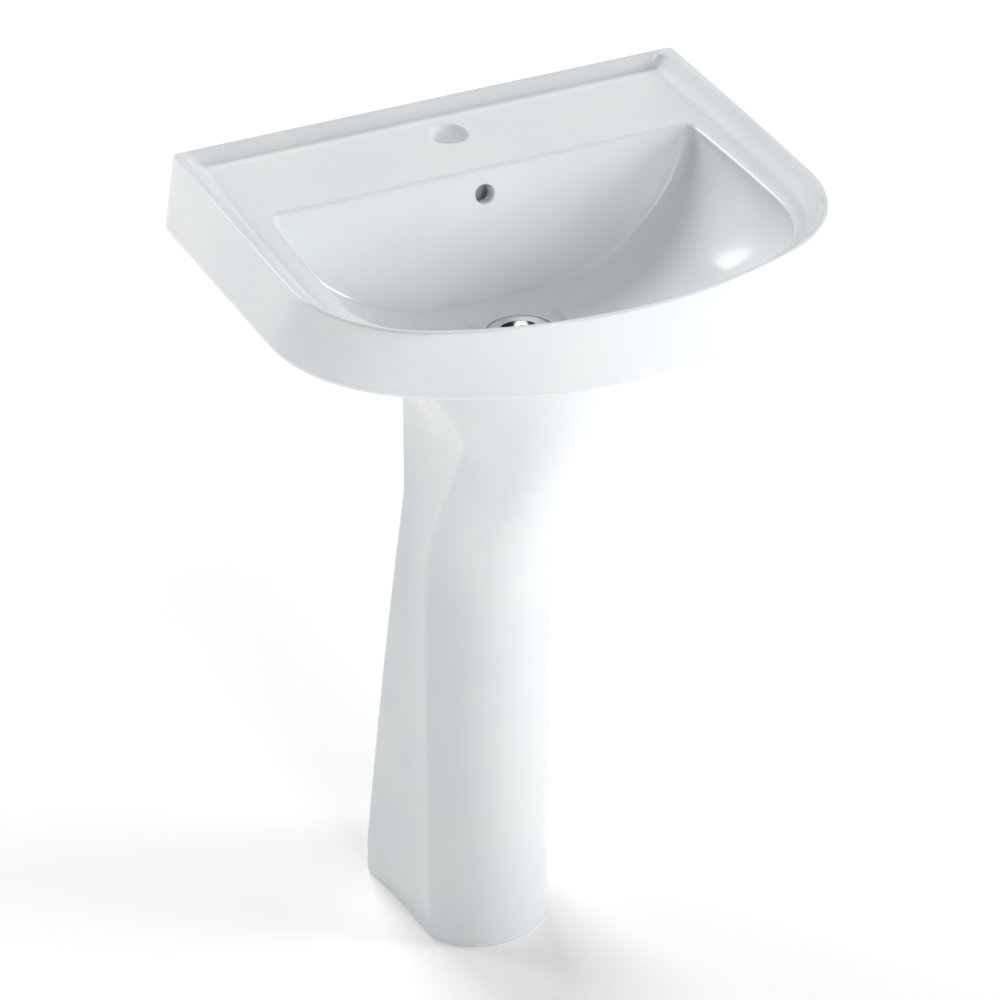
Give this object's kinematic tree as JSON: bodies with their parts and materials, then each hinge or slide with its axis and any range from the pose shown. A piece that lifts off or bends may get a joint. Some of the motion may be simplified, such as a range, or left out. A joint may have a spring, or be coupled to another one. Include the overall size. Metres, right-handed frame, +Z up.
{
  "type": "pedestal sink",
  "caption": "D-shaped china basin with a tap deck and deep apron, on a waisted open-backed china pedestal, with a chrome waste and a P-trap to the wall.",
  "frame": {"origin": "on the floor, midway across the width and the depth; the basin's flat back is at +Y", "axes": "+Z up, -Y to the front where the user stands, +X to the user's right when facing the wall; symmetric left to right but for the nuts' grips"},
  "size_m": [0.5, 0.415, 0.8],
  "materials": {
    "china": "glossy cool-white glaze",
    "pedestal_china": "glossy cool-white glaze, bare biscuit on the foot and the inside",
    "waste_chrome": "polished chrome plate",
    "tube_chrome": "chrome plate with fine draw lines",
    "flange_chrome": "spun and polished chrome plate",
    "brass": "turned brass",
    "rubber": "matt black rubber",
    "clear_seal": "grey translucent silicone rubber",
    "white_plastic": "satin moulded polypropylene",
    "nut_plastic": "satin moulded polypropylene with grip ribs"
  },
  "bodies": {
    "root": {"basin": "china", "pedestal": "pedestal_china", "waste_body": "waste_chrome", "waste_top_seal": "clear_seal", "waste_lower_seal": "rubber", "waste_slip_washer": "white_plastic", "waste_backnut": "brass", "tailpiece": "tube_chrome", "tailpiece_nut": "tube_chrome", "tailpiece_washer": "rubber", "trap_bend": "white_plastic", "trap_inlet_nut": "nut_plastic", "trap_inlet_seal": "rubber", "trap_union_nut": "nut_plastic", "trap_union_seal": "rubber", "outlet_bend": "white_plastic", "outlet_nut": "nut_plastic", "outlet_seal": "rubber", "outlet_tube": "tube_chrome"},
    "plug_seal": {"cleanout_seal": "rubber"},
    "plug": {"cleanout_plug": "nut_plastic"},
    "flange": {"wall_flange": "flange_chrome"}
  },
  "joints": [
    {"name": "cleanout_drop", "type": "slide", "parent": "root", "child": "plug_seal", "axis": [0, 0, -1], "range_m": [0, 0.008]},
    {"name": "cleanout_turn", "type": "hinge", "parent": "plug_seal", "child": "plug", "pos_m": [0, 0.0435, 0.497], "axis": [0, 0, -1], "range_deg": [0, 1445]},
    {"name": "wall_flange_slide", "type": "slide", "parent": "root", "child": "flange", "axis": [0, -1, 0], "range_m": [0, 0.05]}
  ],
  "couplings": [
    {"joint": "cleanout_turn", "follows": "cleanout_drop", "rad_per_m": 3141.6}
  ]
}
